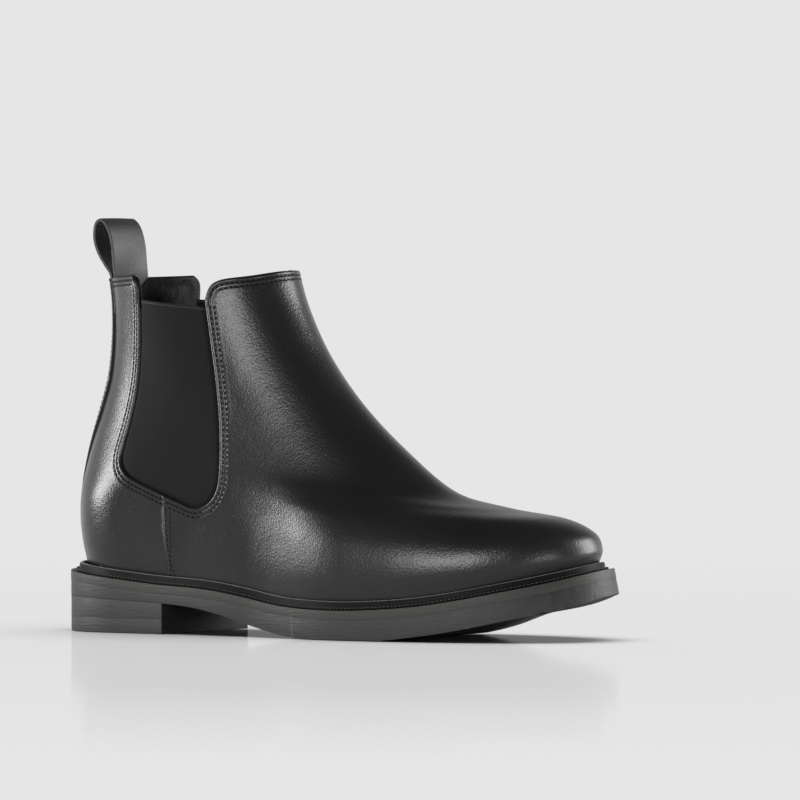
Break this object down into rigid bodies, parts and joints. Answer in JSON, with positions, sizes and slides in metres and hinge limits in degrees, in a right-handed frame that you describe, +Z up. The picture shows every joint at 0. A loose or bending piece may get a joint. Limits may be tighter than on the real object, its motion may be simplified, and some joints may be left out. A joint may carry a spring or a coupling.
{
  "type": "chelsea boot",
  "caption": "Black leather ankle boot with elastic side panels, a folded pull loop at the back, a storm welt, a thick layered sole and a low block heel.",
  "frame": {"origin": "middle of the heel tread, on the ground under the boot", "axes": "+X towards the toe, +Y towards the medial (inner) side, +Z up"},
  "size_m": [0.3032, 0.1058, 0.2056],
  "materials": {
    "vamp": "smooth black calf, soft sheen",
    "quarter_lateral": "smooth black calf, soft sheen",
    "quarter_medial": "smooth black calf, soft sheen",
    "gore_lateral": "matte black ribbed elastic",
    "gore_medial": "matte black ribbed elastic",
    "gore_binding_lateral": "narrow woven edge",
    "gore_binding_medial": "narrow woven edge",
    "pull_loop": "smooth folded strap",
    "pull_loop_tail": "strap end sewn between the layers",
    "vamp_lining": "thin black lining leather, creased",
    "quarter_lining": "thin black lining leather, creased",
    "toe_puff": "stiffened cloth",
    "heel_counter": "stiffened fibre",
    "back_seam_tape": "woven tape",
    "insole_board": "vegetable tanned board",
    "insole_rib": "canvas rib",
    "sock_liner": "thin black leather",
    "heel_pad": "soft foam pad",
    "shank": "spring steel strip",
    "cork_filler": "pressed cork",
    "welt": "black storm welt, satin rim",
    "welt_thread": "waxed thread",
    "midsole": "warm grey-black, matt",
    "outsole": "black rubber, matt",
    "heel_lift": "stacked heel, matt",
    "heel_top_piece": "hard black rubber",
    "heel_nail_1": "round nail head",
    "heel_nail_2": "round nail head",
    "heel_nail_3": "round nail head",
    "heel_nail_4": "round nail head",
    "heel_nail_5": "round nail head"
  },
  "bodies": {
    "boot": {"vamp": "vamp", "quarter_lateral": "quarter_lateral", "quarter_medial": "quarter_medial", "gore_lateral": "gore_lateral", "gore_medial": "gore_medial", "gore_binding_lateral": "gore_binding_lateral", "gore_binding_medial": "gore_binding_medial", "pull_loop_tail": "pull_loop_tail", "vamp_lining": "vamp_lining", "quarter_lining": "quarter_lining", "toe_puff": "toe_puff", "heel_counter": "heel_counter", "back_seam_tape": "back_seam_tape", "insole_board": "insole_board", "insole_rib": "insole_rib", "sock_liner": "sock_liner", "heel_pad": "heel_pad", "shank": "shank", "cork_filler": "cork_filler", "welt": "welt", "welt_thread": "welt_thread", "midsole": "midsole", "outsole": "outsole", "heel_lift": "heel_lift", "heel_top_piece": "heel_top_piece", "heel_nail_1": "heel_nail_1", "heel_nail_2": "heel_nail_2", "heel_nail_3": "heel_nail_3", "heel_nail_4": "heel_nail_4", "heel_nail_5": "heel_nail_5"},
    "pull_loop": {"pull_loop": "pull_loop"}
  },
  "joints": [
    {"name": "loop_tilt", "type": "hinge", "parent": "boot", "child": "pull_loop", "pos_m": [-0.0143, 0, 0.1776], "axis": [0, 1, 0], "range_deg": [-55, 55], "stiffness_Nm_per_rad": 0.02}
  ]
}
